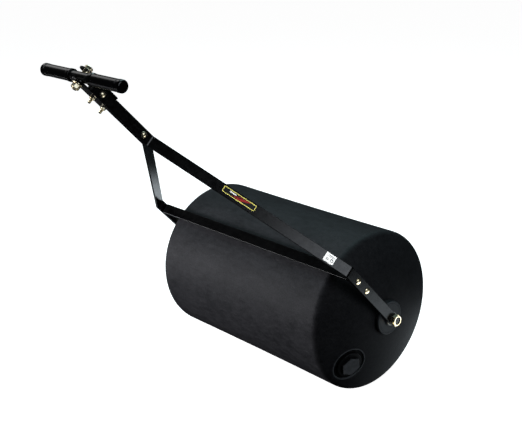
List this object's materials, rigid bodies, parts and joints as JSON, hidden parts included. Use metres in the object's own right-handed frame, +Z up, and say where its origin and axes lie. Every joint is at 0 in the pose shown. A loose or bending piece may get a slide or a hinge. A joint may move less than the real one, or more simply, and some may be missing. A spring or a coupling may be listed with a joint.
{
  "type": "lawn roller",
  "caption": "Lawn roller: a hollow plastic drum on a through axle, carried by a flat-bar A-frame whose tow head holds a removable T-handle with grips.",
  "frame": {"origin": "on the ground under the middle of the whole roller, in its rest pose with the handle raised about 45 degrees", "axes": "+Z up; the axle lies along Y with the fill plug on the -Y end; the handle points towards -X and the drum is on the +X side"},
  "size_m": [0.9413, 0.836, 0.942],
  "materials": {
    "drum_plastic": "moulded polyethylene with a fine matt grain",
    "plug_plastic": "moulded, slightly smoother than the drum",
    "gasket_rubber": "matt",
    "bushing_nylon": "machined nylon",
    "frame_paint": "semi-gloss black powder coat",
    "axle_steel": "bright steel",
    "zinc_steel": "yellow zinc plate",
    "grip_vinyl": "dipped vinyl, glossy",
    "badge_film": "printed film",
    "rating_film": "printed film"
  },
  "bodies": {
    "frame": {"axle_lock_rings": "bushing_nylon", "axle_nut_far": "zinc_steel", "axle_nut_near": "zinc_steel", "axle_rod": "axle_steel", "axle_spacers": "axle_steel", "badge_label": "badge_film", "cross_bar": "frame_paint", "frame_arm_far": "frame_paint", "frame_arm_near": "frame_paint", "grip_far": "grip_vinyl", "grip_near": "grip_vinyl", "handle_bolt": "zinc_steel", "handle_collar": "zinc_steel", "handle_spring_washer": "zinc_steel", "handle_tube": "frame_paint", "handle_washer_top": "zinc_steel", "hitch_plate_bottom": "frame_paint", "hitch_plate_top": "frame_paint", "leg_bolts": "zinc_steel", "leg_nuts": "zinc_steel", "plate_bolts": "zinc_steel", "plate_nuts": "zinc_steel", "rating_label": "rating_film", "tongue_bolts": "zinc_steel", "tongue_nuts": "zinc_steel", "tongue_spacers": "zinc_steel"},
    "drum": {"drum_shell": "drum_plastic", "axle_bushing_near": "bushing_nylon", "axle_bushing_far": "bushing_nylon"},
    "plug_seal": {"fill_plug_gasket": "gasket_rubber"},
    "plug": {"fill_plug": "plug_plastic"},
    "nut_washer": {"handle_washer_low": "zinc_steel"},
    "handle_nut": {"handle_nut": "zinc_steel"}
  },
  "joints": [
    {"name": "drum_spin", "type": "hinge", "parent": "frame", "child": "drum", "pos_m": [0.24205, 0, 0.2286], "axis": [0, 1, 0], "continuous": true},
    {"name": "plug_turn", "type": "hinge", "parent": "plug_seal", "child": "plug", "pos_m": [0.12609, -0.35234, 0.11263], "axis": [-0.2319, -0.9447, -0.2319], "range_deg": [0, 1260]},
    {"name": "plug_lift", "type": "slide", "parent": "drum", "child": "plug_seal", "axis": [-0.2319, -0.9447, -0.2319], "range_m": [0, 0.0141]},
    {"name": "handle_nut_turn", "type": "hinge", "parent": "nut_washer", "child": "handle_nut", "pos_m": [-0.45593, 0, 0.89827], "axis": [-0.7096, 0, -0.7046], "range_deg": [0, 2160]},
    {"name": "handle_nut_drop", "type": "slide", "parent": "frame", "child": "nut_washer", "axis": [-0.7096, 0, -0.7046], "range_m": [0, 0.01182]}
  ],
  "couplings": [
    {"joint": "plug_lift", "follows": "plug_turn", "m_per_rad": 0.00063662},
    {"joint": "handle_nut_drop", "follows": "handle_nut_turn", "m_per_rad": 0.00031099}
  ]
}
